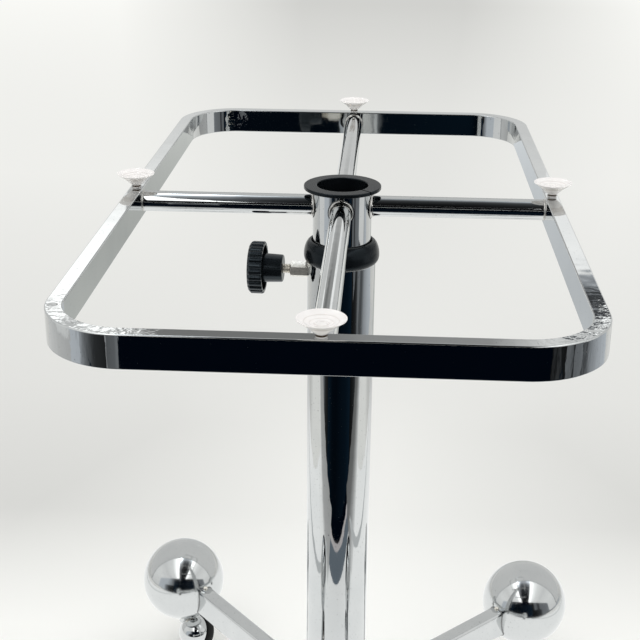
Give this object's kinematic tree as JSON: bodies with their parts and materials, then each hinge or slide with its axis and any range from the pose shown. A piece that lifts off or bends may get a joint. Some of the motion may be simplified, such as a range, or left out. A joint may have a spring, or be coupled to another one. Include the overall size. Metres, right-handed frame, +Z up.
{
  "type": "adjustable rolling table stand",
  "caption": "Chrome pedestal stand for a glass table top: bar frame with suction cups on spokes, telescoping column with clamp knob, splayed legs ending in balls on hooded swivel casters.",
  "frame": {"origin": "on the floor, under the column's axis", "axes": "+Z up along the column, +Y to the rear along the frame's long side, +X to the right; the clamp knob is on the left"},
  "size_m": [0.5528, 0.7214, 0.6931],
  "materials": {
    "chrome": "bright chrome plate on steel, lightly worn",
    "steel": "zinc-plated steel",
    "black_plastic": "satin moulded plastic",
    "rubber": "matt black rubber",
    "clear_pvc": "soft clear PVC, slightly cloudy",
    "nylon": "natural nylon"
  },
  "bodies": {
    "base": {"column_tube": "chrome", "column_collar": "black_plastic", "clamp_nut": "steel", "column_foot_plug": "black_plastic", "leg_front_left": "chrome", "leg_front_right": "chrome", "leg_rear_left": "chrome", "leg_rear_right": "chrome", "ball_front_left": "chrome", "ball_front_right": "chrome", "ball_rear_left": "chrome", "ball_rear_right": "chrome", "caster_socket_front_left": "steel", "caster_socket_front_right": "steel", "caster_socket_rear_left": "steel", "caster_socket_rear_right": "steel"},
    "lift": {"lower_guide_bush": "nylon"},
    "top": {"inner_tube": "chrome", "top_bush": "black_plastic", "top_frame": "chrome", "spoke_front": "chrome", "spoke_rear": "chrome", "spoke_left": "chrome", "spoke_right": "chrome", "suction_cup_front": "clear_pvc", "suction_cup_rear": "clear_pvc", "suction_cup_left": "clear_pvc", "suction_cup_right": "clear_pvc"},
    "clamp_pad": {"clamp_pad": "nylon"},
    "clamp_knob": {"clamp_stud": "steel", "clamp_knob": "black_plastic"},
    "caster_swivel_front_left": {"caster_stem_front_left": "steel", "caster_hood_front_left": "chrome", "caster_axle_front_left": "steel"},
    "caster_wheel_front_left": {"caster_wheel_front_left": "steel", "caster_tyre_front_left": "rubber"},
    "caster_swivel_front_right": {"caster_stem_front_right": "steel", "caster_hood_front_right": "chrome", "caster_axle_front_right": "steel"},
    "caster_wheel_front_right": {"caster_wheel_front_right": "steel", "caster_tyre_front_right": "rubber"},
    "caster_swivel_rear_left": {"caster_stem_rear_left": "steel", "caster_hood_rear_left": "chrome", "caster_axle_rear_left": "steel"},
    "caster_wheel_rear_left": {"caster_wheel_rear_left": "steel", "caster_tyre_rear_left": "rubber"},
    "caster_swivel_rear_right": {"caster_stem_rear_right": "steel", "caster_hood_rear_right": "chrome", "caster_axle_rear_right": "steel"},
    "caster_wheel_rear_right": {"caster_wheel_rear_right": "steel", "caster_tyre_rear_right": "rubber"}
  },
  "joints": [
    {"name": "lift_slide", "type": "slide", "parent": "base", "child": "lift", "axis": [0, 0, 1], "range_m": [-0.022, 0.28]},
    {"name": "top_swivel", "type": "hinge", "parent": "lift", "child": "top", "pos_m": [0, 0, 0.66696], "axis": [0, 0, 1], "continuous": true},
    {"name": "clamp_travel", "type": "slide", "parent": "base", "child": "clamp_pad", "axis": [-0.9987, 0.0506, 0], "range_m": [0, 0.0045]},
    {"name": "clamp_turn", "type": "hinge", "parent": "clamp_pad", "child": "clamp_knob", "pos_m": [-0.05498, 0.00279, 0.60266], "axis": [-0.9987, 0.0506, 0], "range_deg": [0, 1080]},
    {"name": "caster_swivel_front_left", "type": "hinge", "parent": "base", "child": "caster_swivel_front_left", "pos_m": [-0.22593, -0.20414, 0.04686], "axis": [0, 0, 1], "continuous": true},
    {"name": "caster_roll_front_left", "type": "hinge", "parent": "caster_swivel_front_left", "child": "caster_wheel_front_left", "pos_m": [-0.20581, -0.20461, 0.02159], "axis": [-0.4052, -0.7654, 0.5], "continuous": true},
    {"name": "caster_swivel_front_right", "type": "hinge", "parent": "base", "child": "caster_swivel_front_right", "pos_m": [0.20414, -0.22593, 0.04686], "axis": [0, 0, 1], "continuous": true},
    {"name": "caster_roll_front_right", "type": "hinge", "parent": "caster_swivel_front_right", "child": "caster_wheel_front_right", "pos_m": [0.19085, -0.24104, 0.02159], "axis": [-0.3258, 0.8024, 0.5], "continuous": true},
    {"name": "caster_swivel_rear_left", "type": "hinge", "parent": "base", "child": "caster_swivel_rear_left", "pos_m": [-0.20414, 0.22593, 0.04686], "axis": [0, 0, 1], "continuous": true},
    {"name": "caster_roll_rear_left", "type": "hinge", "parent": "caster_swivel_rear_left", "child": "caster_wheel_rear_left", "pos_m": [-0.18515, 0.21927, 0.02159], "axis": [-0.6219, -0.6027, 0.5], "continuous": true},
    {"name": "caster_swivel_rear_right", "type": "hinge", "parent": "base", "child": "caster_swivel_rear_right", "pos_m": [0.22593, 0.20414, 0.04686], "axis": [0, 0, 1], "continuous": true},
    {"name": "caster_roll_rear_right", "type": "hinge", "parent": "caster_swivel_rear_right", "child": "caster_wheel_rear_right", "pos_m": [0.2364, 0.22133, 0.02159], "axis": [0.4602, -0.7336, 0.5], "continuous": true}
  ],
  "couplings": [
    {"joint": "clamp_turn", "follows": "clamp_travel", "rad_per_m": 4188.8}
  ]
}
